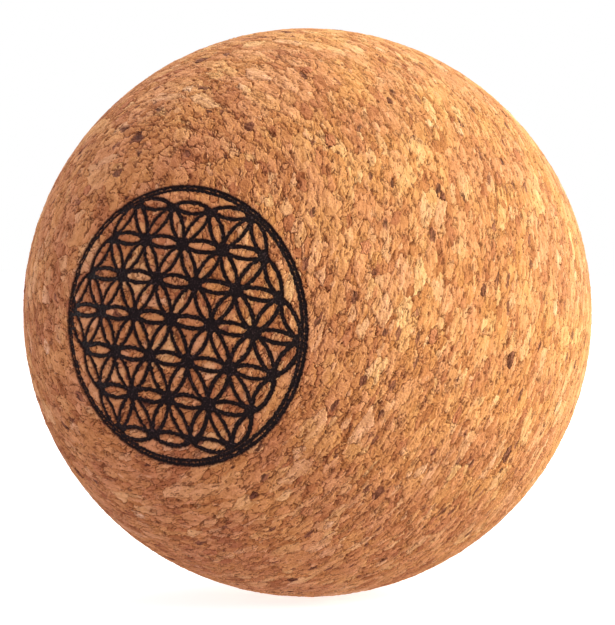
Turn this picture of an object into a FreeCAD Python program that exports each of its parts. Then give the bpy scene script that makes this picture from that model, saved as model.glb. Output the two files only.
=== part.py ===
import FreeCAD, Part
import math
import os
import random

Vector = FreeCAD.Vector

# A turned ball of pressed cork granules with a rosette of overlapping circles burnt into it.
# Millimetres. Origin at the ball's centre, +Z up, the rosette facing -Y.

# Driving dimensions
BALL_DIAMETER = 100.0

# The rosette is flat artwork that a parallel beam burns into the ball.
GRID_SPACING = 7.14
GRID_STEPS = 3                       # grid spacings from the middle node to each corner node
LINE_WIDTH = 0.64
BLOT_RADIUS = 1.25                   # the burn spreads to a round blot where lines cross
RING_LINE_WIDTH = 0.52
RING_SEAM = 0.08                     # cork left standing between the two ring lines
RING_INNER_RADIUS = 21.36
GROOVE_DEPTH = 0.60
CHAR_THICKNESS = 0.25
BEAM_AZIMUTH = 0.8                   # degrees from -Y towards +X
BEAM_ELEVATION = 12.3                # degrees above the horizontal
ARTWORK_ROLL = -6.4                  # degrees, about the beam
ARTWORK_OFFSET = (0.47, -10.67)      # artwork centre from the beam's axis: across, up

# The cork block was pressed along one axis before turning, so its granules lie flattened.
PRESS_AZIMUTH = -18.7
PRESS_ELEVATION = 13.4
FLATTENING = 0.46                    # granule thickness along the press axis, over its width
GRANULE_SITES = 140
SITE_JITTER = 2.6                    # at most, each way along the surface
GRANULE_CORNERS = 9
POCKET_TAPER = 0.62                  # size of a granule's inner end, over its outer end
ROSETTE_MARGIN = 3.5                 # granule centres stay this far outside the ring
BOTTOM_MARGIN = 6.0                  # and this far from the lowest point
RANDOM_SEED = 11

# Granule classes that stand out from the ground mass: shortest length, longest length, depth
GRANULE_CLASSES = {
    "bark_chips": (1.8, 4.2, 1.4),
    "pale_granules": (3.0, 5.2, 1.8),
    "reddish_granules": (2.6, 4.8, 1.8),
}
SITE_CYCLE = (
    "bark_chips",
    "pale_granules",
    "bark_chips",
    "reddish_granules",
    "bark_chips",
    "pale_granules",
    "reddish_granules",
)

BALL_RADIUS = BALL_DIAMETER / 2
RING_OUTER_RADIUS = RING_INNER_RADIUS + 2 * RING_LINE_WIDTH + RING_SEAM
PRISM_NEAR = 0.3 * BALL_RADIUS       # the artwork's prism starts and ends here along the beam
PRISM_FAR = 1.2 * BALL_RADIUS
Z_AXIS = Vector(0, 0, 1)


def direction(azimuth, elevation):
    """Unit vector at an azimuth from -Y towards +X and an elevation, both in degrees."""
    a = math.radians(azimuth)
    e = math.radians(elevation)
    return Vector(math.sin(a) * math.cos(e), -math.cos(a) * math.cos(e), math.sin(e))


def flat_axes(normal, roll=0.0):
    """Across and up axes of the plane square to a direction, rolled by degrees."""
    across = Z_AXIS.cross(normal).normalize()
    up = normal.cross(across)
    c = math.cos(math.radians(roll))
    s = math.sin(math.radians(roll))
    return across * c + up * s, up * c - across * s


BEAM = direction(BEAM_AZIMUTH, BEAM_ELEVATION)
ART_ACROSS, ART_UP = flat_axes(BEAM, ARTWORK_ROLL)
ART_CENTRE = ART_ACROSS * ARTWORK_OFFSET[0] + ART_UP * ARTWORK_OFFSET[1]
PRESS_AXIS = direction(PRESS_AZIMUTH, PRESS_ELEVATION)


# Flat artwork

def art_point(x, y):
    """A point of the flat artwork, at the near end of its prism."""
    return ART_CENTRE + ART_ACROSS * x + ART_UP * y + BEAM * PRISM_NEAR


def node_xy(i, j):
    """Place of grid node (i, j) in the artwork."""
    return Vector((i + j / 2) * GRID_SPACING, j * math.sqrt(3) / 2 * GRID_SPACING, 0)


def in_grid(i, j):
    return max(abs(i), abs(j), abs(i + j)) <= GRID_STEPS


def arc_edge(centre, radius, start, end):
    """Short arc about a centre from one artwork point to another, as an edge in space."""
    middle = (start + end) * 0.5 - centre
    middle = centre + middle.normalize() * radius
    points = [art_point(p.x, p.y) for p in (start, middle, end)]
    return Part.Arc(*points).toShape()


def arc_loop(centres, radius, corners):
    """Closed wire of arcs: arc k runs about centre k from corner k to the next corner."""
    edges = []
    for k, centre in enumerate(centres):
        edges.append(arc_edge(centre, radius, corners[k], corners[(k + 1) % len(corners)]))
    return Part.Wire(edges)


def petal_window(p, q):
    """Open middle of the petal between two neighbouring nodes."""
    radius = GRID_SPACING - LINE_WIDTH / 2
    height = GRID_SPACING * math.sqrt(3) / 2
    middle = (p + q) * 0.5
    along = (q - p).normalize()
    side = Vector(-along.y, along.x, 0)
    reach = math.sqrt(radius ** 2 - height ** 2)
    corners = [middle - along * reach, middle + along * reach]
    return arc_loop([middle + side * height, middle - side * height], radius, corners)


def triangle_window(p, q, s):
    """Open three-cornered field between three petals."""
    radius = GRID_SPACING + LINE_WIDTH / 2
    reach = math.sqrt(radius ** 2 - GRID_SPACING ** 2)
    middle = (p + q + s) * (1 / 3)
    nodes = [p, q, s]
    corners = [n + (middle - n).normalize() * reach for n in nodes]
    centres = [nodes[k] + nodes[(k + 1) % 3] - nodes[(k + 2) % 3] for k in range(3)]
    return arc_loop(centres, radius, corners)


def rim_wire():
    """Outer edge of the rosette: one arc for each petal on its rim."""
    radius = GRID_SPACING + LINE_WIDTH / 2
    steps = [(1, 0), (0, 1), (-1, 1), (-1, 0), (0, -1), (1, -1)]
    centres = []
    corners = []
    for side in range(6):
        start = steps[side]
        walk = steps[(side + 2) % 6]
        for k in range(GRID_STEPS):
            i = start[0] * GRID_STEPS + walk[0] * k
            j = start[1] * GRID_STEPS + walk[1] * k
            node = node_xy(i, j)
            inner = node_xy(i - start[0], j - start[1])
            if k == 0:
                outward = (node - inner).normalize()
                corners.append(inner + outward * radius)
            else:
                previous = centres[-1]
                middle = (inner + previous) * 0.5
                half = (inner - previous).Length / 2
                outward = (node - middle).normalize()
                corners.append(middle + outward * math.sqrt(radius ** 2 - half ** 2))
            centres.append(inner)
    return arc_loop(centres, radius, corners)


def disc(radius, x=0, y=0):
    circle = Part.Circle(art_point(x, y), BEAM, radius)
    return Part.Face(Part.Wire(circle.toShape()))


def rosette_face():
    """All petals of the rosette as one flat net of lines, trimmed where it meets the ring."""
    windows = []
    blots = []
    for i in range(-GRID_STEPS, GRID_STEPS + 1):
        for j in range(-GRID_STEPS, GRID_STEPS + 1):
            if not in_grid(i, j):
                continue
            p = node_xy(i, j)
            blots.append(disc(BLOT_RADIUS, p.x, p.y))
            for di, dj in ((1, 0), (0, 1), (-1, 1)):
                if in_grid(i + di, j + dj):
                    windows.append(petal_window(p, node_xy(i + di, j + dj)))
            for first, second in (((1, 0), (0, 1)), ((0, 1), (-1, 1))):
                q = (i + first[0], j + first[1])
                s = (i + second[0], j + second[1])
                if in_grid(*q) and in_grid(*s):
                    windows.append(triangle_window(p, node_xy(*q), node_xy(*s)))
    openings = Part.makeCompound([Part.Face(wire) for wire in windows]).cut(blots)
    net = Part.Face(rim_wire()).cut(openings)
    return net.common(disc(RING_INNER_RADIUS))


def ring_face(inner, outer):
    return disc(outer).cut(disc(inner))


def burn(face, outer_radius, inner_radius):
    """Solid that a flat face burns out of the ball between two spheres."""
    prism = face.extrude(BEAM * (PRISM_FAR - PRISM_NEAR))
    cap = prism.common(Part.makeSphere(outer_radius))
    return Part.Solid(cap.cut(Part.makeSphere(inner_radius)).Solids[0])


# Granules

def site_direction(index, count):
    """Evenly spread directions over a ball, by the golden angle."""
    z = 1 - 2 * (index + 0.5) / count
    turn = index * math.pi * (3 - math.sqrt(5))
    flat = math.sqrt(1 - z * z)
    return Vector(flat * math.cos(turn), flat * math.sin(turn), z)


def is_clear(point):
    """True where a granule keeps clear of the rosette and of the lowest point."""
    across = point.dot(ART_ACROSS) - ARTWORK_OFFSET[0]
    up = point.dot(ART_UP) - ARTWORK_OFFSET[1]
    near_rosette = math.hypot(across, up) < RING_OUTER_RADIUS + ROSETTE_MARGIN
    near_bottom = math.hypot(point.x, point.y) < BOTTOM_MARGIN and point.z < 0
    return not near_bottom and not (near_rosette and point.dot(BEAM) > 0)


def granule(rng, normal, length, depth):
    """Irregular tapered granule set in the surface, flattened along the press axis."""
    press = PRESS_AXIS - normal * PRESS_AXIS.dot(normal)
    slant = press.Length
    press.normalize()
    grain = normal.cross(press)
    width = length * (1 - (1 - FLATTENING) * slant ** 2)
    rings = []
    outline = []
    for k in range(GRANULE_CORNERS):
        angle = (k + rng.uniform(-0.28, 0.28)) * 2 * math.pi / GRANULE_CORNERS
        reach = rng.uniform(0.72, 1.10) / 2
        outline.append((math.cos(angle) * reach * length, math.sin(angle) * reach * width))
    for height, size in ((BALL_RADIUS + depth, 1.0), (BALL_RADIUS - depth, POCKET_TAPER)):
        rings.append([normal * height + (grain * x + press * y) * size for x, y in outline])
    top, bottom = rings
    faces = [Part.Face(Part.makePolygon(ring + ring[:1])) for ring in rings]
    for k in range(GRANULE_CORNERS):
        n = (k + 1) % GRANULE_CORNERS
        faces.append(Part.Face(Part.makePolygon([top[k], top[n], bottom[n], bottom[k], top[k]])))
    return Part.Solid(Part.Shell(faces))


def granule_groups(ball):
    """Every granule that stands out, in one group of separate solids for each class."""
    rng = random.Random(RANDOM_SEED)
    groups = {name: [] for name in GRANULE_CLASSES}
    for site in range(GRANULE_SITES):
        normal = site_direction(site, GRANULE_SITES)
        across = normal.cross(PRESS_AXIS).normalize()
        up = across.cross(normal)
        shift = across * rng.uniform(-SITE_JITTER, SITE_JITTER)
        shift += up * rng.uniform(-SITE_JITTER, SITE_JITTER)
        normal = (normal * BALL_RADIUS + shift).normalize()
        name = SITE_CYCLE[site % len(SITE_CYCLE)]
        shortest, longest, depth = GRANULE_CLASSES[name]
        solid = granule(rng, normal, rng.uniform(shortest, longest), depth)
        if is_clear(normal * BALL_RADIUS):
            groups[name].append(ball.common(solid).Solids[0])
    return groups


def main():
    os.makedirs("parts", exist_ok=True)
    ball = Part.makeSphere(BALL_RADIUS)
    floor = BALL_RADIUS - GROOVE_DEPTH
    char_top = floor + CHAR_THICKNESS

    inner_line_edge = RING_INNER_RADIUS + RING_LINE_WIDTH
    faces = {
        "char_rosette": rosette_face(),
        "char_inner_ring": ring_face(RING_INNER_RADIUS, inner_line_edge),
        "char_outer_ring": ring_face(inner_line_edge + RING_SEAM, RING_OUTER_RADIUS),
    }
    nodes = {name: burn(face, char_top, floor) for name, face in faces.items()}
    grooves = [burn(face, BALL_RADIUS + 1, floor) for face in faces.values()]

    groups = granule_groups(ball)
    body = ball.cut([solid for group in groups.values() for solid in group])
    for groove in grooves:
        body = body.cut(groove)
    nodes["cork_body"] = body.Solids[0]
    for name, group in groups.items():
        nodes[name] = Part.makeCompound(group)

    for name, shape in nodes.items():
        shape.exportStep("parts/" + name + ".step")
        print(name, "solids", len(shape.Solids), "volume", round(shape.Volume, 2), "valid", shape.isValid())


main()
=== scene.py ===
import math

import bpy
import numpy as np
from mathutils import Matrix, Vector


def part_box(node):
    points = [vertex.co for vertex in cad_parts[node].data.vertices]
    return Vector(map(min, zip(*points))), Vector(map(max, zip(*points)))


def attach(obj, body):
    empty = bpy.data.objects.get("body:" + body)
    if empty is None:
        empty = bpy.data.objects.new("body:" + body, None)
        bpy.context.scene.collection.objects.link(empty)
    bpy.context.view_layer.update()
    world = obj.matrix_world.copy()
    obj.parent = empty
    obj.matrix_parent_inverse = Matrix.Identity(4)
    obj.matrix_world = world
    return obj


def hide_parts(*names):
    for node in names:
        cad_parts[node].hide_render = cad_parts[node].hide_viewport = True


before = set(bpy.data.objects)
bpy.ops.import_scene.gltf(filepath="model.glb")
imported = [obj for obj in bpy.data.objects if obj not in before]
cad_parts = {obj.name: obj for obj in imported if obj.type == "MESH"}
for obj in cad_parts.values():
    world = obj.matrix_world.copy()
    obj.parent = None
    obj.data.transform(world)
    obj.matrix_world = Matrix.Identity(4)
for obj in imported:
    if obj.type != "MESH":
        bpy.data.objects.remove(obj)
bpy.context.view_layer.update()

MM = 0.001

# The ball and the flat artwork that a parallel beam burns into it. The frame gives the radius.
BALL_RADIUS = (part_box("cork_body")[1].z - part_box("cork_body")[0].z) / 2
GRID_SPACING = 7.14 * MM
GRID_STEPS = 3
LINE_WIDTH = 0.64 * MM
BLOT_RADIUS = 1.25 * MM
RING_LINE_WIDTH = 0.52 * MM
RING_SEAM = 0.08 * MM
RING_INNER_RADIUS = 21.36 * MM
RING_OUTER_RADIUS = RING_INNER_RADIUS + 2 * RING_LINE_WIDTH + RING_SEAM
RING_MIDDLES = (RING_INNER_RADIUS + RING_LINE_WIDTH / 2, RING_OUTER_RADIUS - RING_LINE_WIDTH / 2)
GROOVE_DEPTH = 0.60 * MM
CHAR_RECESS = 0.35 * MM
BEAM_AZIMUTH = 0.8
BEAM_ELEVATION = 12.3
ARTWORK_ROLL = -6.4
ARTWORK_OFFSET = (0.47 * MM, -10.67 * MM)

# The block's pressing axis, along which the granules lie flattened
PRESS_AZIMUTH = -18.7
PRESS_ELEVATION = 13.4
FLATTENING = 0.38
LARGE_GRANULE = 5.0                           # cell sizes along the grain, in millimetres
SMALL_GRANULE = 2.7
SMALL_SHARE = 0.62                            # of the large cells, split up into small granules
GRAIN_BEND = 2.6                              # how far the cells' walls wander, in millimetres
GRAIN_FRAY = 0.75                             # and how far they fray

# Mesh detail. Each piece stays under 200,000 triangles.
FACE_CELLS = 440       # cells along each edge of a cube face
FRONT_LAYERS = 130      # layers from the ring out to the front face's edge
CAP_CELL = 0.092 * MM
CHAR_CELL = 0.130 * MM
FRONT_BUNCHING = 1.2                          # above 1 packs the layers towards the ring
CAP_RADIUS = RING_MIDDLES[1]                  # the cap and the rest meet under the outer ring's char
CAP_LAP = 0.07 * MM
TILE_THICKNESS = 2.5 * MM
TILE_CROWN = 5.0 * MM
CHAR_LAP = 0.07 * MM                          # the rosette's char runs this far past the drawn edge
RING_CHAR_WIDTH = RING_LINE_WIDTH + 0.06 * MM
RING_CHAR_STEPS = 1400                        # round each ring line
RING_CHAR_ROWS = 8                            # of points across each ring line

# Granules that stand out
OUTLINE_SAMPLES = 96                          # points round a granule
OUTLINE_WINDOW = 0.20                         # a corner shapes the outline this many radians each way
GRANULE_RINGS = 16                            # rings of points from a granule's middle to its outline
GRANULE_REACH = 3.4 * MM                      # farther than any outline is from its middle
NOTCH_SIZE = 0.10                             # spread of the largest notch, over the granule's reach
NOTCH_SEED = 5
LIP_SINK = 0.06 * MM                          # a granule's rounded lip
SIDE_SINKS = (0.5 * MM, 0.8 * MM)             # top and bottom of its side wall
SIDE_SHARES = (1.0, 0.75)
POCKET_DEPTH = 0.40                           # how far the cork dips under a granule, in millimetres
POCKET_EDGE = 0.99                            # the pocket starts here, over the granule's reach
POCKET_WALL = 0.10                            # and is at full depth this much farther in

# Camera and picture
CAMERA_AZIMUTH = 26.45
CAMERA_ELEVATION = 1.42
CAMERA_DISTANCE = 547.3 * MM
BALL_SHARE = 0.9106                           # the ball's outline, over the picture's height
SENSOR = 36.0
FLOOR_REACH = 4.0
FLOOR_COLOR = (0.8, 0.8, 0.8)
FLOOR_GLOW = 0.75                             # keeps the floor near white
SKY_LIGHT = (0.64, 0.48, 0.56, 1)             # the world as the ball sees it
SKY_SEEN = (1, 1, 1, 1)                       # and as the camera sees it

# Softboxes: azimuth from the camera and elevation in degrees, size, power in watts, colour
SOFTBOX_DISTANCE = 1.2
SOFTBOXES = {
    "key_right": (68, 30, 0.9, 14.8, (1.0, 1.0, 0.81)),
    "rim_right": (135, -5, 0.8, 19.0, (0.80, 0.98, 0.95)),
    "rim_left": (-125, 5, 0.8, 4.2, (0.85, 1.0, 0.90)),
    "top_back": (180, 55, 0.9, 8.0, (0.86, 0.96, 0.90)),
    "front_low": (0, -38, 0.9, 6.8, (1.0, 0.90, 0.76)),
    "right_low": (70, -35, 0.9, 3.5, (1.0, 0.93, 0.62)),
}

# Colours. CORK_TONES runs from the darkest ordinary granules to the palest.
CORK_TONES = [
    (0.00, (0.490, 0.194, 0.069)),
    (0.12, (0.600, 0.259, 0.092)),
    (0.35, (0.680, 0.315, 0.112)),
    (0.65, (0.725, 0.351, 0.129)),
    (0.88, (0.780, 0.405, 0.160)),
    (1.00, (0.860, 0.515, 0.230)),
]
PINKISH = (1.01, 0.975, 1.06, 1)              # tints that multiply a tone
YELLOWISH = (1.0, 1.025, 0.91, 1)
FLAKE = (0.92, 0.56, 0.28, 1)
SPECK = (0.200, 0.058, 0.018, 1)
# partly the grain's dark lines, partly painted shade in the creases
CREASE_DARK_AND_SHADE = (0.130, 0.040, 0.014, 1)
SEAM = (0.24, 0.080, 0.024, 1)
# painted shade in the gaps between granules
CREVICE_SHADE = (0.12, 0.038, 0.014, 1)
# painted shade inside the pits
PIT_SHADE = (0.085, 0.030, 0.016, 1)
CHIP_DARK = (0.075, 0.026, 0.014, 1)
CHIP_LIGHT = (0.40, 0.165, 0.080, 1)
# painted shade in the gap round a loose granule
GRANULE_RIM_SHADE = (0.10, 0.036, 0.020, 1)
SMOKED = (0.13, 0.050, 0.028, 1)              # cork near a burnt line
SCORCHED = (0.040, 0.022, 0.018, 1)           # cork at its edge
CHARRED = (0.014, 0.009, 0.008, 1)            # cork inside it
# Burnt cork from its darkest to its lightest; the top stop is a painted highlight, glints on the crumbled
# char.
CHAR_TONES_AND_GLINTS = [
    (0.30, (0.006, 0.004, 0.003)),
    (0.56, (0.011, 0.007, 0.006)),
    (0.70, (0.110, 0.075, 0.070)),
]
GRANULE_LOOKS = {                             # slot name for add_piece, dark colour, light colour
    "bark_chips": ("bark", (0.095, 0.032, 0.016, 1), (0.400, 0.165, 0.075, 1)),
    "pale_granules": ("pale_cork", (0.800, 0.430, 0.180, 1), (0.930, 0.620, 0.330, 1)),
    "reddish_granules": ("reddish_cork", (0.560, 0.220, 0.090, 1), (0.700, 0.310, 0.125, 1)),
}


def unit(vectors):
    return vectors / np.linalg.norm(vectors, axis=-1, keepdims=True)


def direction(azimuth, elevation):
    """Unit vector at an azimuth from -Y towards +X and an elevation, both in degrees."""
    a = math.radians(azimuth)
    e = math.radians(elevation)
    return np.array([math.sin(a) * math.cos(e), -math.cos(a) * math.cos(e), math.sin(e)])


def flat_axes(normal, roll=0.0):
    """Across and up axes of the plane square to a direction, rolled by degrees."""
    across = unit(np.cross([0, 0, 1], normal))
    up = np.cross(normal, across)
    c = math.cos(math.radians(roll))
    s = math.sin(math.radians(roll))
    return across * c + up * s, up * c - across * s


BEAM = direction(BEAM_AZIMUTH, BEAM_ELEVATION)
ART_ACROSS, ART_UP = flat_axes(BEAM, ARTWORK_ROLL)
PRESS_AXIS = direction(PRESS_AZIMUTH, PRESS_ELEVATION)
GRAIN_ACROSS, GRAIN_UP = flat_axes(PRESS_AXIS)


# Flat artwork: places in it are x across and y up from its centre, in metres

def onto_ball(x, y):
    """Directions from the ball's centre to the artwork points, carried along the beam."""
    u = x + ARTWORK_OFFSET[0]
    v = y + ARTWORK_OFFSET[1]
    along = np.sqrt(BALL_RADIUS ** 2 - u ** 2 - v ** 2)
    points = u[..., None] * ART_ACROSS + v[..., None] * ART_UP + along[..., None] * BEAM
    return points / BALL_RADIUS


def into_artwork(directions):
    """Artwork places of points on the ball, and whether each faces the beam."""
    x = directions @ ART_ACROSS * BALL_RADIUS - ARTWORK_OFFSET[0]
    y = directions @ ART_UP * BALL_RADIUS - ARTWORK_OFFSET[1]
    return x, y, directions @ BEAM > 0


def in_grid(i, j):
    return max(abs(i), abs(j), abs(i + j)) <= GRID_STEPS


def rosette_gap(x, y):
    """Distance from each artwork place to the edge of the rosette's nearest line, inside it below 0."""
    steps = [(1, 0), (0, 1), (-1, 1), (-1, 0), (0, -1), (1, -1)]
    nearest = np.full(np.shape(x), 1.0)
    blots = np.full(np.shape(x), 1.0)
    outline = np.full(np.shape(x), 1.0)
    reach = range(-GRID_STEPS - 1, GRID_STEPS + 2)
    for i in reach:
        for j in reach:
            ends = [in_grid(i + di, j + dj) for di, dj in steps]
            drawn = np.array([ends[k] and ends[(k + 1) % 6] for k in range(6)])
            if not drawn.any():
                continue
            dx = x - (i + j / 2) * GRID_SPACING
            dy = y - j * math.sqrt(3) / 2 * GRID_SPACING
            sector = np.floor(np.arctan2(dy, dx) / (math.pi / 3)).astype(int) % 6
            radius = np.hypot(dx, dy)
            nearest = np.minimum(nearest, np.where(drawn[sector], np.abs(radius - GRID_SPACING), 1.0))
            if in_grid(i, j):
                blots = np.minimum(blots, radius)
                outline = np.minimum(outline, np.where(drawn[sector], radius - GRID_SPACING, 1.0))
    gap = np.minimum(nearest - LINE_WIDTH / 2, np.maximum(blots - BLOT_RADIUS, outline - LINE_WIDTH / 2))
    return np.maximum(gap, np.hypot(x, y) - RING_INNER_RADIUS)


def ring_gap(x, y):
    """The same for the two lines of the ring. The seam between them is scorched like a line's edge."""
    radius = np.hypot(x, y)
    nearest = np.minimum(np.abs(radius - RING_MIDDLES[0]), np.abs(radius - RING_MIDDLES[1]))
    gap = nearest - RING_LINE_WIDTH / 2
    between = (radius > RING_MIDDLES[0]) & (radius < RING_MIDDLES[1])
    return np.where(between, np.minimum(gap, 0.0), gap)


def line_nearness(directions):
    """1 at a line's edge, above 1 inside it, 0 from one millimetre away."""
    x, y, lit = into_artwork(directions)
    gap = np.minimum(rosette_gap(x, y), ring_gap(x, y))
    return np.where(lit, np.clip(1 - gap / MM, 0, 2), 0)


# Meshes

def grid_triangles(ids):
    """Two triangles for each cell of a grid of vertex numbers."""
    a = ids[:-1, :-1]
    b = ids[1:, :-1]
    c = ids[1:, 1:]
    d = ids[:-1, 1:]
    return np.concatenate([np.stack([a, b, c], -1).reshape(-1, 3), np.stack([a, c, d], -1).reshape(-1, 3)])


def facing_out(directions, triangles):
    """The triangles of a patch of the ball, turned over if they face its centre."""
    a, b, c = directions[triangles[0]]
    inward = np.cross(b - a, c - a) @ a < 0
    return triangles[:, ::-1] if inward else triangles


def used_only(points, triangles):
    """Points and triangles with the unused points left out."""
    used, numbers = np.unique(triangles, return_inverse=True)
    return points[used], numbers.reshape(-1, 3)


def rim_edges(triangles):
    """Directed edges that only one triangle has."""
    edges = np.concatenate([triangles[:, [0, 1]], triangles[:, [1, 2]], triangles[:, [2, 0]]])
    low = np.minimum(edges[:, 0], edges[:, 1]).astype(np.int64)
    key = low * (triangles.max() + 1) + np.maximum(edges[:, 0], edges[:, 1])
    _, first, count = np.unique(key, return_index=True, return_counts=True)
    return edges[first[count == 1]]


def new_mesh(name, points, triangles, attributes=None):
    mesh = bpy.data.meshes.new(name)
    mesh.vertices.add(len(points))
    mesh.vertices.foreach_set("co", np.ascontiguousarray(points, np.float32).ravel())
    mesh.loops.add(triangles.size)
    mesh.loops.foreach_set("vertex_index", np.ascontiguousarray(triangles, np.int32).ravel())
    mesh.polygons.add(len(triangles))
    mesh.polygons.foreach_set("loop_start", np.arange(0, triangles.size, 3, dtype=np.int32))
    mesh.update(calc_edges=True)
    for key, values in (attributes or {}).items():
        layer = mesh.attributes.new(key, "FLOAT", "POINT")
        layer.data.foreach_set("value", np.ascontiguousarray(values, np.float32))
    return mesh


def new_object(name, mesh, material=None):
    obj = bpy.data.objects.new(name, mesh)
    bpy.context.scene.collection.objects.link(obj)
    if material:
        mesh.materials.append(material)
    return obj


def relieved(points, triangles, attributes, relief):
    """The points after a geometry-nodes relief has moved them."""
    obj = new_object("blank", new_mesh("blank", points, triangles, attributes))
    modifier = obj.modifiers.new("relief", "NODES")
    modifier.node_group = relief
    evaluated = obj.evaluated_get(bpy.context.evaluated_depsgraph_get())
    moved = np.zeros(len(points) * 3, np.float32)
    evaluated.data.vertices.foreach_get("co", moved)
    mesh = obj.data
    bpy.data.objects.remove(obj)
    bpy.data.meshes.remove(mesh)
    return moved.reshape(-1, 3)


def closed_tile(points, triangles):
    """Adds side walls under the rim and a shallow cone inside, so that the tile is a closed solid."""
    rim = rim_edges(triangles)
    corners, numbers = np.unique(rim, return_inverse=True)
    numbers = numbers.reshape(-1, 2) + len(points)
    low = unit(points[corners]) * (BALL_RADIUS - TILE_THICKNESS)
    middle = unit(points[corners].mean(0)) * (BALL_RADIUS - TILE_CROWN)
    a, b = rim[:, 0], rim[:, 1]
    a_low, b_low = numbers[:, 0], numbers[:, 1]
    tip = np.full(len(rim), len(points) + len(corners))
    added = np.concatenate([
        np.stack([b, a, a_low], 1),
        np.stack([b, a_low, b_low], 1),
        np.stack([b_low, a_low, tip], 1),
    ])
    return np.concatenate([points, low, middle[None]]), np.concatenate([triangles, added]), corners


def sharpen(mesh, corners):
    """Keeps the shading of a tile's outer face apart from that of its walls."""
    ends = np.zeros(len(mesh.edges) * 2, np.int32)
    mesh.edges.foreach_get("vertices", ends)
    on_rim = np.zeros(len(mesh.vertices), bool)
    on_rim[corners] = True
    layer = mesh.attributes.new("sharp_edge", "BOOLEAN", "EDGE")
    layer.data.foreach_set("value", on_rim[ends.reshape(-1, 2)].all(1))


def cube_face(across, up, out, columns):
    """Directions over part of a cube face: columns are its share of the face's width."""
    wide = np.linspace(columns[0], columns[1], round(FACE_CELLS * (columns[1] - columns[0])) + 1)
    tall = np.linspace(0, 1, FACE_CELLS + 1)
    a = np.tan((wide - 0.5) * math.pi / 2)[:, None, None]
    b = np.tan((tall - 0.5) * math.pi / 2)[None, :, None]
    return unit(a * np.array(across) + b * np.array(up) + np.array(out, float))


def front_quarter(start):
    """Directions from the ring out to the edge of the front cube face, over a quarter of the way round."""
    steps = np.arange(FACE_CELLS + 1) / FACE_CELLS + start - 0.5
    side = (np.floor(steps).astype(int)) % 4
    along = np.tan((steps - np.floor(steps) - 0.5) * math.pi / 2)
    walk = np.array([(1, 0), (0, 1), (-1, 0), (0, -1)], float)
    face_side = np.array([(0, -1), (1, 0), (0, 1), (-1, 0)], float)
    flat = walk[side] * along[:, None] + face_side[side]
    outer = unit(np.stack([flat[:, 0], -np.ones(len(flat)), flat[:, 1]], 1))
    x, y, _ = into_artwork(outer)
    radius = np.hypot(x, y)
    inner = onto_ball(x / radius * CAP_RADIUS, y / radius * CAP_RADIUS)
    share = (np.linspace(0, 1, FRONT_LAYERS + 1) ** FRONT_BUNCHING)[None, :, None]
    return unit(inner[:, None] * (1 - share) + outer[:, None] * share)


def art_grid(cell, radius):
    """Artwork places on a square grid with one row through the centre."""
    reach = math.ceil(radius / cell) + 1
    steps = np.arange(-reach, reach + 1) * cell
    return np.meshgrid(steps, steps, indexing="ij")


def grid_tile(grid):
    """Points' directions and outward triangles of a grid of directions."""
    ids = np.arange(grid.shape[0] * grid.shape[1]).reshape(grid.shape[:2])
    directions = grid.reshape(-1, 3)
    return directions, facing_out(directions, grid_triangles(ids))


def cap_tile(upper):
    """The same for the upper or lower half of the disc that holds the rosette."""
    x, y = art_grid(CAP_CELL, CAP_RADIUS + CAP_LAP)
    directions, triangles = grid_tile(onto_ball(x, y))
    x = x.ravel()[triangles]
    y = y.ravel()[triangles]
    inside = (np.hypot(x, y) < CAP_RADIUS + CAP_LAP).all(1)
    half = y.mean(1) > 0 if upper else y.mean(1) < 0
    return used_only(directions, triangles[inside & half])


def cork_tiles():
    """Name, directions and triangles of each piece of the ball's skin."""
    yield "cork_rosette_upper", *cap_tile(True)
    yield "cork_rosette_lower", *cap_tile(False)
    for k, name in enumerate(("below", "right", "above", "left")):
        yield "cork_front_" + name, *grid_tile(front_quarter(k))
    x, y, z = np.eye(3)
    faces = {
        "right": (y, z, x),
        "back": (-x, z, y),
        "left": (-y, z, -x),
        "top": (x, y, z),
        "bottom": (x, -y, -z),
    }
    for name, axes in faces.items():
        for part, columns in (("a", (0, 0.5)), ("b", (0.5, 1))):
            yield "cork_" + name + "_" + part, *grid_tile(cube_face(*axes, columns))


# Granules that the frame gives one by one

def loose_parts(mesh):
    """Vertex positions of each separate solid of a mesh."""
    points = np.zeros(len(mesh.vertices) * 3, np.float32)
    mesh.vertices.foreach_get("co", points)
    points = points.reshape(-1, 3).astype(float)
    _, label = np.unique(np.round(points / (0.001 * MM)).astype(np.int64), axis=0, return_inverse=True)
    label = label.ravel()
    ends = np.zeros(len(mesh.edges) * 2, np.int32)
    mesh.edges.foreach_get("vertices", ends)
    ends = label[ends.reshape(-1, 2)]
    group = np.arange(label.max() + 1)
    while True:
        low = np.minimum(group[ends[:, 0]], group[ends[:, 1]])
        before = group.copy()
        np.minimum.at(group, ends[:, 0], low)
        np.minimum.at(group, ends[:, 1], low)
        group = group[group]
        if (group == before).all():
            break
    owner = group[label]
    return [points[owner == g] for g in np.unique(owner)]


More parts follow.
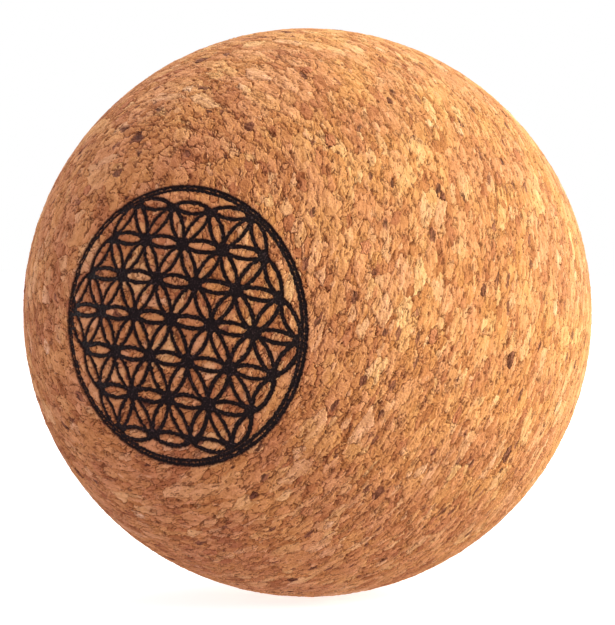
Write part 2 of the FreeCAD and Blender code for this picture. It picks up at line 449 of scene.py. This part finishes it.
class Granule:
    """Outline of one granule on the ball: a closed curve through its solid's outer corners."""

    def __init__(self, solid):
        skin = solid[np.linalg.norm(solid, axis=1) > BALL_RADIUS - 0.02 * MM]
        self.normal = unit(skin.mean(0))
        self.across = unit(np.cross(PRESS_AXIS, self.normal))
        self.up = np.cross(self.normal, self.across)
        x = skin @ self.across
        y = skin @ self.up
        turn = np.arctan2(y, x)
        reach = np.hypot(x, y)
        self.angles = np.linspace(-math.pi, math.pi, OUTLINE_SAMPLES, endpoint=False)
        offset = np.abs((turn[None] - self.angles[:, None] + math.pi) % (2 * math.pi) - math.pi)
        beside = offset < OUTLINE_WINDOW
        outermost = np.array([reach[row].max() if row.any() else np.nan for row in beside])
        known = ~np.isnan(outermost)
        self.reach = np.interp(self.angles, self.angles[known], outermost[known], period=2 * math.pi)

    def share(self, directions):
        """How far out each direction lies: 1 on the granule's outline."""
        x = directions @ self.across * BALL_RADIUS
        y = directions @ self.up * BALL_RADIUS
        reach = np.interp(np.arctan2(y, x), self.angles, self.reach, period=2 * math.pi)
        return np.hypot(x, y) / reach

    def roughen(self, rng):
        """Breaks the outline up with notches of every size."""
        for waves in range(3, 24):
            size = rng.normal(0, NOTCH_SIZE) / waves ** 0.6
            self.reach = self.reach * (1 + size * np.cos(waves * self.angles + rng.uniform(0, 6.28)))

    def mesh(self):
        """Closed pebble with a lid that follows the ball, and each point's share of the way out."""
        sectors = OUTLINE_SAMPLES
        shares = np.concatenate([np.linspace(0, 1, GRANULE_RINGS + 1)[1:], SIDE_SHARES])
        sinks = np.concatenate([np.zeros(GRANULE_RINGS - 1), [LIP_SINK], SIDE_SINKS])
        flat = shares[:, None] * self.reach[None]
        x = flat * np.cos(self.angles)
        y = flat * np.sin(self.angles)
        spot = self.normal * BALL_RADIUS + x[..., None] * self.across + y[..., None] * self.up
        points = unit(spot) * (BALL_RADIUS - sinks)[:, None, None]
        crown = self.normal * BALL_RADIUS
        base = self.normal * (BALL_RADIUS - sinks[-1])
        count = len(shares)
        ids = np.arange(count * sectors).reshape(count, sectors)
        ids = np.concatenate([ids, ids[:, :1]], 1)
        body = grid_triangles(ids)
        top, low = count * sectors, count * sectors + 1
        lid = np.stack([np.full(sectors, top), ids[0, :-1], ids[0, 1:]], 1)
        floor = np.stack([np.full(sectors, low), ids[-1, 1:], ids[-1, :-1]], 1)
        points = np.concatenate([points.reshape(-1, 3), crown[None], base[None]])
        out = np.concatenate([np.repeat(shares, sectors), [0.0, shares[-1]]])
        return points, np.concatenate([body, lid, floor]), out


# Node graphs

class Graph:
    """Short ways to add nodes, the same in a shader tree and in a geometry tree."""

    def __init__(self, tree):
        self.nodes = tree.nodes
        self.links = tree.links

    def feed(self, socket, value):
        if isinstance(value, bpy.types.NodeSocket):
            self.links.new(value, socket)
        else:
            socket.default_value = value

    def node(self, kind, inputs, **settings):
        node = self.nodes.new(kind)
        for name, value in settings.items():
            setattr(node, name, value)
        for key, value in inputs.items():
            self.feed(node.inputs[key], value)
        return node

    def math(self, operation, a, b=0.0, c=0.0):
        return self.node("ShaderNodeMath", {0: a, 1: b, 2: c}, operation=operation).outputs[0]

    def add(self, a, b):
        return self.math("ADD", a, b)

    def times(self, a, b):
        return self.math("MULTIPLY", a, b)

    def minus(self, a, b):
        return self.math("SUBTRACT", a, b)

    def swing(self, value, size):
        """A 0 to 1 value turned into one from -size / 2 to size / 2."""
        return self.math("MULTIPLY_ADD", value, size, -size / 2)

    def vector(self, operation, a, b=(0.0, 0.0, 0.0)):
        return self.node("ShaderNodeVectorMath", {0: a, 1: b}, operation=operation).outputs[0]

    def dot(self, a, b):
        return self.node("ShaderNodeVectorMath", {0: a, 1: tuple(b)}, operation="DOT_PRODUCT").outputs[1]

    def scaled(self, a, factor):
        return self.node("ShaderNodeVectorMath", {0: a, 3: factor}, operation="SCALE").outputs[0]

    def combine(self, x, y, z):
        return self.node("ShaderNodeCombineXYZ", {0: x, 1: y, 2: z}).outputs[0]

    def parts(self, vector):
        return self.node("ShaderNodeSeparateXYZ", {0: vector}).outputs

    def noise(self, vector, scale, detail=2.0, roughness=0.5, out=0):
        inputs = {"Vector": vector, "Scale": scale, "Detail": detail, "Roughness": roughness}
        return self.node("ShaderNodeTexNoise", inputs).outputs[out]

    def cells(self, vector, size, feature="F1"):
        inputs = {"Vector": vector, "Scale": 1 / size, "Randomness": 1.0}
        return self.node("ShaderNodeTexVoronoi", inputs, feature=feature).outputs

    def ramp(self, value, low, high, start=0.0, end=1.0):
        """Smooth step: start below low, end above high."""
        inputs = {0: value, 1: low, 2: high, 3: start, 4: end}
        return self.node("ShaderNodeMapRange", inputs, interpolation_type="SMOOTHSTEP").outputs[0]

    def mix(self, share, a, b):
        return self.node("ShaderNodeMix", {0: share, 2: a, 3: b}, data_type="FLOAT").outputs[0]

    def mix_vectors(self, share, a, b):
        return self.node("ShaderNodeMix", {0: share, 4: a, 5: b}, data_type="VECTOR").outputs[1]

    def mix_colors(self, share, a, b):
        return self.node("ShaderNodeMix", {0: share, 6: a, 7: b}, data_type="RGBA").outputs[2]

    def palette(self, value, stops):
        node = self.node("ShaderNodeValToRGB", {0: value})
        elements = node.color_ramp.elements
        while len(elements) < len(stops):
            elements.new(0.5)
        for element, (place, color) in zip(elements, stops):
            element.position = place
            element.color = (*color, 1.0)
        return node.outputs[0]


def wander(g, vector, scale, roughness, size):
    """A random offset that changes smoothly, up to half of size each way."""
    noise = g.noise(vector, scale, 2.0, roughness, out=1)
    return g.scaled(g.vector("SUBTRACT", noise, (0.5, 0.5, 0.5)), size)


def grain_space(g, place):
    """Place in millimetres along the block's axes, stretched so that flattened granules become round."""
    thick = g.math("DIVIDE", g.dot(place, PRESS_AXIS), FLATTENING)
    straight = g.combine(g.dot(place, GRAIN_ACROSS), g.dot(place, GRAIN_UP), thick)
    bend = wander(g, straight, 0.42, 0.5, GRAIN_BEND)
    fray = wander(g, straight, 1.9, 0.6, GRAIN_FRAY)
    return g.vector("ADD", g.vector("ADD", straight, bend), fray)


def spots(g, vector, size, low, radius, channel, ragged):
    """Scattered spots with an uneven edge, one per cell whose random value is above low.

    The largest reach the radius, which is in cell sizes. The channel picks one of a cell's three values.
    """
    cell = g.cells(vector, size)
    reach = g.ramp(g.parts(cell[1])[channel], low, 1.0, -0.05, radius)
    uneven = g.swing(g.noise(vector, 5.0 / size, 2.0, 0.6), ragged)
    return g.minus(1.0, g.ramp(g.add(g.minus(cell[0], reach), uneven), -0.035, 0.005))


def cork_fields(g, place):
    """Fields of pressed cork at a place in millimetres: masks from 0 to 1, and random values per granule."""
    grain = grain_space(g, place)
    large = g.cells(grain, LARGE_GRANULE)
    large_edge = g.times(g.cells(grain, LARGE_GRANULE, "DISTANCE_TO_EDGE")[0], LARGE_GRANULE)
    shifted = g.vector("ADD", grain, (31.0, 17.0, 5.0))
    small = g.cells(shifted, SMALL_GRANULE)
    small_edge = g.times(g.cells(shifted, SMALL_GRANULE, "DISTANCE_TO_EDGE")[0], SMALL_GRANULE)
    whole = g.math("GREATER_THAN", g.parts(large[1])[0], SMALL_SHARE)
    own = g.mix_vectors(whole, small[1], large[1])
    edge = g.mix(whole, g.math("MINIMUM", small_edge, large_edge), large_edge)
    own_x, own_y, own_z = g.parts(own)[0], g.parts(own)[1], g.parts(own)[2]

    turn = g.combine(g.swing(own_y, 0.65), g.swing(own_z, 0.65), g.times(own_x, 6.28))
    turned = g.node("ShaderNodeVectorRotate", {"Vector": grain, "Rotation": turn}, rotation_type="EULER_XYZ")
    turned = turned.outputs[0]
    streak = g.noise(g.vector("MULTIPLY", turned, (0.20, 0.27, 0.46)), 1.0, 3.0, 0.64)
    hair = g.noise(g.vector("MULTIPLY", turned, (0.45, 0.60, 1.15)), 1.0, 1.5, 0.60)
    sliver = g.cells(g.vector("MULTIPLY", turned, (0.33, 0.45, 0.55)), 1.0)
    speck = g.noise(g.vector("MULTIPLY", turned, (0.90, 1.20, 1.30)), 1.0, 1.0, 0.50)

    thread = g.noise(g.vector("MULTIPLY", turned, (0.26, 0.36, 0.48)), 1.0, 2.0, 0.55)
    thread = g.math("ABSOLUTE", g.swing(thread, 1.0))
    crease = g.times(
        g.minus(1.0, g.ramp(thread, 0.010, 0.050)),
        g.ramp(g.noise(shifted, 0.60, 1.0), 0.49, 0.58),
    )
    broken = g.ramp(g.noise(grain, 0.55, 1.0), 0.43, 0.53)
    width = g.ramp(g.noise(shifted, 0.8, 1.0), 0.35, 0.70, 0.06, 0.20)
    crevice = g.times(g.minus(1.0, g.ramp(g.math("DIVIDE", edge, width), 0.15, 1.0)), broken)
    seam = g.minus(1.0, g.ramp(edge, 0.0, 0.20))

    flake = spots(g, g.vector("ADD", grain, (11.0, 67.0, 37.0)), 3.0, 0.45, 0.30, 2, 0.30)
    chip = spots(g, g.vector("ADD", grain, (53.0, 3.0, 29.0)), 4.2, 0.40, 0.30, 1, 0.35)
    return {
        "tone": own_x,
        "level": own_y,
        "hue": own_z,
        "edge": edge,
        "seam": seam,
        "sliver": g.parts(sliver[1])[0],
        "sliver_rim": g.ramp(sliver[0], 0.50, 0.80),
        "streak": streak,
        "hair": hair,
        "crease": crease,
        "crevice": crevice,
        "pit": spots(g, g.vector("ADD", grain, (7.0, 41.0, 13.0)), 1.55, 0.50, 0.17, 0, 0.10),
        "chip": chip,
        "flake": g.times(flake, g.minus(1.0, chip)),
        "medium": g.noise(grain, 1.15, 2.0, 0.55),
        "fine": g.noise(place, 2.8, 1.5, 0.60),
        "speck": g.ramp(speck, 0.65, 0.73),
        "cloud": g.noise(place, 0.11, 2.0, 0.5),
    }


def ragged_nearness(g, near, place):
    """Nearness to a burnt line, 1 on its edge, made uneven as the burn is."""
    return g.add(near, g.swing(g.noise(place, 2.0, 3.0, 0.65), 0.66))


def line_share(g, ragged):
    """1 inside a burnt line and 0 outside it."""
    return g.ramp(ragged, 0.96, 1.10)


def geometry_tree(name):
    tree = bpy.data.node_groups.new(name, "GeometryNodeTree")
    tree.interface.new_socket("Geometry", in_out="INPUT", socket_type="NodeSocketGeometry")
    tree.interface.new_socket("Geometry", in_out="OUTPUT", socket_type="NodeSocketGeometry")
    g = Graph(tree)
    position = g.node("GeometryNodeInputPosition", {}).outputs[0]
    outward = g.vector("NORMALIZE", position)
    place = g.scaled(outward, BALL_RADIUS / MM)
    return tree, g, outward, place


def finish_relief(tree, g, outward, height):
    """Moves each point outward by a height in millimetres."""
    source = g.node("NodeGroupInput", {}).outputs[0]
    offset = g.scaled(outward, g.times(height, MM))
    moved = g.node("GeometryNodeSetPosition", {"Geometry": source, "Offset": offset}).outputs[0]
    g.node("NodeGroupOutput", {0: moved})
    return tree


def named(g, name):
    return g.node("GeometryNodeInputNamedAttribute", {"Name": name}, data_type="FLOAT").outputs[0]


def grain_height(g, fields):
    """Relief of the fine grain, in millimetres, about zero."""
    height = g.add(g.swing(fields["streak"], 0.18), g.swing(fields["sliver"], 0.06))
    height = g.add(height, g.swing(fields["hair"], 0.12))
    height = g.add(height, g.swing(fields["medium"], 0.16))
    height = g.add(height, g.swing(fields["fine"], 0.14))
    height = g.minus(height, g.times(fields["crease"], 0.14))
    return g.minus(height, g.times(fields["speck"], 0.08))


def cork_height(g, fields):
    """Relief of the turned cork, in millimetres, mostly below the ball's true surface."""
    height = g.add(grain_height(g, fields), g.swing(fields["level"], 0.07))
    height = g.add(height, g.times(g.ramp(fields["edge"], 0.0, 0.8), 0.04))
    height = g.minus(height, g.times(fields["crevice"], 0.28))
    height = g.minus(height, g.times(fields["pit"], 0.22))
    height = g.minus(height, g.times(fields["chip"], 0.06))
    height = g.add(height, g.times(fields["flake"], 0.03))
    return g.minus(height, 0.10)


def cork_relief():
    tree, g, outward, place = geometry_tree("cork relief")
    height = cork_height(g, cork_fields(g, place))
    burnt = line_share(g, ragged_nearness(g, named(g, "line_near"), place))
    height = g.mix(burnt, height, -GROOVE_DEPTH / MM)
    height = g.minus(height, named(g, "pocket"))
    return finish_relief(tree, g, outward, height)


def granule_relief():
    """Relief of a granule: the same fine grain as the cork round it."""
    tree, g, outward, place = geometry_tree("granule relief")
    height = g.minus(grain_height(g, cork_fields(g, place)), 0.07)
    return finish_relief(tree, g, outward, height)


def char_relief():
    """Crumbled top of a burnt line, none at its floor."""
    tree, g, outward, place = geometry_tree("char relief")
    height = g.swing(g.noise(place, 2.2, 3.0, 0.65), 0.34)
    height = g.add(height, g.swing(g.noise(place, 5.5, 2.0, 0.6), 0.20))
    height = g.times(height, named(g, "top"))
    return finish_relief(tree, g, outward, height)


# Materials

def new_material(name):
    material = bpy.data.materials.new(name)
    material.use_nodes = True
    g = Graph(material.node_tree)
    shader = next(n for n in g.nodes if n.type == "BSDF_PRINCIPLED")
    position = g.node("ShaderNodeTexCoord", {}).outputs["Object"]
    place = g.scaled(g.vector("NORMALIZE", position), BALL_RADIUS / MM)
    return material, g, shader, place


def bump(g, shader, height, distance):
    """Fine relief below the mesh's own detail; height is in millimetres."""
    inputs = {"Height": height, "Distance": distance, "Strength": 1.0}
    g.feed(shader.inputs["Normal"], g.node("ShaderNodeBump", inputs).outputs[0])


def grained(g, f, color):
    """A granule's colour with its fine grain and specks, and creases that are partly dark grain and partly
    painted shade.
    """
    shade = g.add(1.02, g.swing(f["streak"], 0.50))
    shade = g.add(shade, g.swing(f["sliver"], 0.24))
    shade = g.minus(shade, g.times(f["sliver_rim"], 0.16))
    shade = g.add(shade, g.swing(f["hair"], 0.46))
    shade = g.add(shade, g.swing(f["fine"], 0.44))
    shade = g.add(shade, g.swing(f["medium"], 0.24))
    deeper = g.combine(g.math("POWER", shade, 0.9), g.math("POWER", shade, 1.2), g.math("POWER", shade, 1.7))
    color = g.vector("MULTIPLY", color, deeper)
    color = g.mix_colors(g.times(f["speck"], 0.70), color, SPECK)
    # The creases, which the relief sinks, darken: partly dark grain, partly painted shade.
    return g.mix_colors(g.times(f["crease"], 0.66), color, CREASE_DARK_AND_SHADE)


def finish_cork(g, f, shader, place, color):
    g.feed(shader.inputs["Base Color"], color)
    g.feed(shader.inputs["Roughness"], g.math("MULTIPLY_ADD", f["fine"], 0.25, 0.66))
    shader.inputs["Specular IOR Level"].default_value = 0.22
    height = g.add(g.swing(f["hair"], 0.13), g.swing(f["fine"], 0.12))
    bump(g, shader, g.add(height, g.times(g.noise(place, 5.0, 2.0, 0.6), 0.12)), MM)


def cork_material():
    material, g, shader, place = new_material("pressed_cork")
    f = cork_fields(g, place)
    color = g.palette(f["tone"], CORK_TONES)
    hue = g.add(f["cloud"], g.swing(f["hue"], 0.3))
    color = g.vector("MULTIPLY", color, g.mix_colors(g.ramp(hue, 0.25, 0.75), PINKISH, YELLOWISH))
    color = g.scaled(color, g.add(1.0, g.swing(f["cloud"], 0.28)))
    color = g.mix_colors(g.times(f["flake"], 0.5), color, FLAKE)
    color = grained(g, f, color)
    color = g.mix_colors(g.times(f["seam"], 0.10), color, SEAM)
    # Painted shade: the gaps between granules, which the relief sinks, are darkened as well.
    color = g.mix_colors(g.times(f["crevice"], 0.64), color, CREVICE_SHADE)
    # Painted shade: the pits, which the relief sinks, are darkened as well.
    color = g.mix_colors(g.times(f["pit"], 0.85), color, PIT_SHADE)
    bark = g.mix_colors(g.ramp(f["hair"], 0.35, 0.65), CHIP_DARK, CHIP_LIGHT)
    color = g.mix_colors(g.times(f["chip"], 0.9), color, bark)
    near = g.node("ShaderNodeAttribute", {}, attribute_name="line_near").outputs["Fac"]
    ragged = ragged_nearness(g, near, place)
    color = g.mix_colors(g.ramp(near, 0.55, 1.0, 0.0, 0.40), color, SMOKED)
    color = g.mix_colors(g.ramp(ragged, 0.91, 1.00, 0.0, 0.85), color, SCORCHED)
    color = g.mix_colors(line_share(g, ragged), color, CHARRED)
    finish_cork(g, f, shader, place, color)
    return material


def granule_material(name, dark, light):
    """One loose class of granule, between two colours, its rim darkened in patches with painted shade of the
    gap round it.
    """
    material, g, shader, place = new_material(name)
    f = cork_fields(g, place)
    own = g.noise(place, 0.35, 1.0)
    share = g.ramp(g.add(g.times(f["streak"], 0.7), g.times(own, 0.3)), 0.34, 0.66)
    color = grained(g, f, g.mix_colors(share, dark, light))
    out = g.node("ShaderNodeAttribute", {}, attribute_name="out_share").outputs["Fac"]
    # Painted shade: darker towards the outline, in patches, where the granule meets the cork.
    edge = g.ramp(g.add(out, g.swing(f["medium"], 0.5)), 0.86, 1.04, 0.0, 0.7)
    color = g.mix_colors(g.times(edge, g.ramp(f["cloud"], 0.35, 0.55)), color, GRANULE_RIM_SHADE)
    finish_cork(g, f, shader, place, color)
    return material


def char_material():
    material, g, shader, place = new_material("burnt_cork")
    crumbs_and_glints = g.noise(place, 3.2, 3.0, 0.7)
    # Dark char, turning light where the noise is high: painted glints, a painted highlight.
    g.feed(shader.inputs["Base Color"], g.palette(crumbs_and_glints, CHAR_TONES_AND_GLINTS))
    g.feed(shader.inputs["Roughness"], g.math("MULTIPLY_ADD", crumbs_and_glints, 0.3, 0.42))
    shader.inputs["Specular IOR Level"].default_value = 0.18
    bump(g, shader, g.times(g.noise(place, 9.0, 2.0, 0.6), 0.10), MM)
    return material


def flat_material(name, color, glow):
    material = bpy.data.materials.new(name)
    material.use_nodes = True
    shader = next(n for n in material.node_tree.nodes if n.type == "BSDF_PRINCIPLED")
    shader.inputs["Base Color"].default_value = (*color, 1)
    shader.inputs["Roughness"].default_value = 1.0
    shader.inputs["Specular IOR Level"].default_value = 0.0
    shader.inputs["Emission Color"].default_value = (1, 1, 1, 1)
    shader.inputs["Emission Strength"].default_value = glow
    return material


# Pieces

def join_meshes(meshes):
    """One mesh of several, each given as points, triangles and a value for each point."""
    points, triangles, values = zip(*meshes)
    starts = np.cumsum([0] + [len(part) for part in points[:-1]])
    triangles = [part + start for part, start in zip(triangles, starts)]
    return np.concatenate(points), np.concatenate(triangles), np.concatenate(values)


def add_piece(obj, slot, *nodes):
    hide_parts(*nodes)
    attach(obj, "root")


def pocket_depth(directions, granules):
    """How far the cork dips under each granule, in millimetres."""
    dips = np.zeros(len(directions))
    for granule in granules:
        near = np.nonzero(directions @ granule.normal > math.cos(GRANULE_REACH / BALL_RADIUS))[0]
        inside = np.clip((POCKET_EDGE - granule.share(directions[near])) / POCKET_WALL, 0, 1)
        dips[near] = np.maximum(dips[near], inside * POCKET_DEPTH)
    return dips


def build_cork(granules):
    material = cork_material()
    relief = cork_relief()
    for name, directions, triangles in cork_tiles():
        line_near = line_nearness(directions)
        attributes = {"line_near": line_near, "pocket": pocket_depth(directions, granules)}
        points = relieved(directions * BALL_RADIUS, triangles, attributes, relief)
        points, triangles, corners = closed_tile(points, triangles)
        near = np.zeros(len(points))
        near[:len(directions)] = line_near
        layers = {"line_near": near} if near.any() else {}
        mesh = new_mesh(name, points, triangles, layers)
        sharpen(mesh, corners)
        add_piece(new_object(name, mesh, material), "cork", "cork_body")


def build_granules():
    """Every granule that the frame gives, and their outlines."""
    relief = granule_relief()
    rng = np.random.default_rng(NOTCH_SEED)
    outlines = []
    for node, (slot, dark, light) in GRANULE_LOOKS.items():
        granules = [Granule(solid) for solid in loose_parts(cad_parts[node].data)]
        for granule in granules:
            granule.roughen(rng)
        points, triangles, out = join_meshes([granule.mesh() for granule in granules])
        points = relieved(points, triangles, {}, relief)
        mesh = new_mesh(node, points, triangles, {"out_share": out})
        add_piece(new_object(node + "_rough", mesh, granule_material(node, dark, light)), slot, node)
        outlines += granules
    return outlines


def build_slab(name, directions, triangles, relief, material, node):
    """Closed burnt layer: a crumbled top over a plain floor, from a flat patch."""
    count = len(directions)
    top = directions * (BALL_RADIUS - CHAR_RECESS)
    low = directions * (BALL_RADIUS - GROOVE_DEPTH)
    rim = rim_edges(triangles)
    a, b = rim[:, 0], rim[:, 1]
    walls = np.concatenate([np.stack([b, a, a + count], 1), np.stack([b, a + count, b + count], 1)])
    triangles = np.concatenate([triangles, triangles[:, ::-1] + count, walls])
    points = np.concatenate([top, low])
    attributes = {"top": np.concatenate([np.ones(count), np.zeros(count)])}
    points = relieved(points, triangles, attributes, relief)
    add_piece(new_object(name, new_mesh(name, points, triangles), material), "char", node)


def build_char():
    material = char_material()
    relief = char_relief()
    x, y = art_grid(CHAR_CELL, RING_INNER_RADIUS + CHAR_CELL)
    directions, triangles = grid_tile(onto_ball(x, y))
    covered = rosette_gap(x, y) < CHAR_LAP
    directions, triangles = used_only(directions, triangles[covered.ravel()[triangles].all(1)])
    build_slab("char_rosette_crumbled", directions, triangles, relief, material, "char_rosette")
    for node, middle in zip(("char_inner_ring", "char_outer_ring"), RING_MIDDLES):
        turns = np.linspace(0, 2 * math.pi, RING_CHAR_STEPS + 1)[:-1]
        radii = middle + np.linspace(-0.5, 0.5, RING_CHAR_ROWS) * RING_CHAR_WIDTH
        x = radii[None] * np.cos(turns)[:, None]
        y = radii[None] * np.sin(turns)[:, None]
        ids = np.arange(x.size).reshape(x.shape)
        directions = onto_ball(x, y).reshape(-1, 3)
        triangles = facing_out(directions, grid_triangles(np.concatenate([ids, ids[:1]])))
        build_slab(node + "_crumbled", directions, triangles, relief, material, node)


# Stage

def add_camera():
    camera = bpy.data.objects.new("camera", bpy.data.cameras.new("camera"))
    bpy.context.scene.collection.objects.link(camera)
    back = Vector(direction(CAMERA_AZIMUTH, CAMERA_ELEVATION))
    camera.location = back * CAMERA_DISTANCE
    camera.rotation_mode = "QUATERNION"
    camera.rotation_quaternion = (-back).to_track_quat("-Z", "Y")
    half_picture = BALL_RADIUS / math.sqrt(CAMERA_DISTANCE ** 2 - BALL_RADIUS ** 2) / BALL_SHARE
    camera.data.sensor_width = SENSOR
    camera.data.lens = SENSOR / 2 / half_picture
    camera.data.clip_start = 0.01
    camera.data.clip_end = 20
    bpy.context.scene.camera = camera


def add_lights():
    for name, (azimuth, elevation, size, power, color) in SOFTBOXES.items():
        lamp = bpy.data.lights.new(name, "AREA")
        lamp.shape = "DISK"
        lamp.size = size
        lamp.energy = power
        lamp.color = color
        obj = bpy.data.objects.new(name, lamp)
        bpy.context.scene.collection.objects.link(obj)
        away = Vector(direction(CAMERA_AZIMUTH + azimuth, elevation))
        obj.location = away * SOFTBOX_DISTANCE
        obj.rotation_mode = "QUATERNION"
        obj.rotation_quaternion = away.to_track_quat("Z", "Y")
        obj.visible_camera = False


def add_world():
    world = bpy.data.worlds.new("white studio")
    world.use_nodes = True
    g = Graph(world.node_tree)
    g.nodes.clear()
    seen = g.node("ShaderNodeLightPath", {}).outputs["Is Camera Ray"]
    color = g.mix_colors(seen, SKY_LIGHT, SKY_SEEN)
    background = g.node("ShaderNodeBackground", {"Color": color})
    g.node("ShaderNodeOutputWorld", {0: background.outputs[0]})
    bpy.context.scene.world = world
    bpy.context.scene.view_settings.view_transform = "Standard"
    bpy.context.scene.view_settings.look = "None"


def add_floor():
    corners = np.array([(-1, -1, 0), (1, -1, 0), (1, 1, 0), (-1, 1, 0)]) * FLOOR_REACH
    corners[:, 2] = -BALL_RADIUS
    mesh = new_mesh("floor", corners, np.array([(0, 1, 2), (0, 2, 3)]))
    floor = new_object("floor", mesh, flat_material("white_floor", FLOOR_COLOR, FLOOR_GLOW))
    floor.visible_diffuse = False
    floor.visible_glossy = False


add_camera()
add_lights()
add_world()
add_floor()
build_cork(build_granules())
build_char()
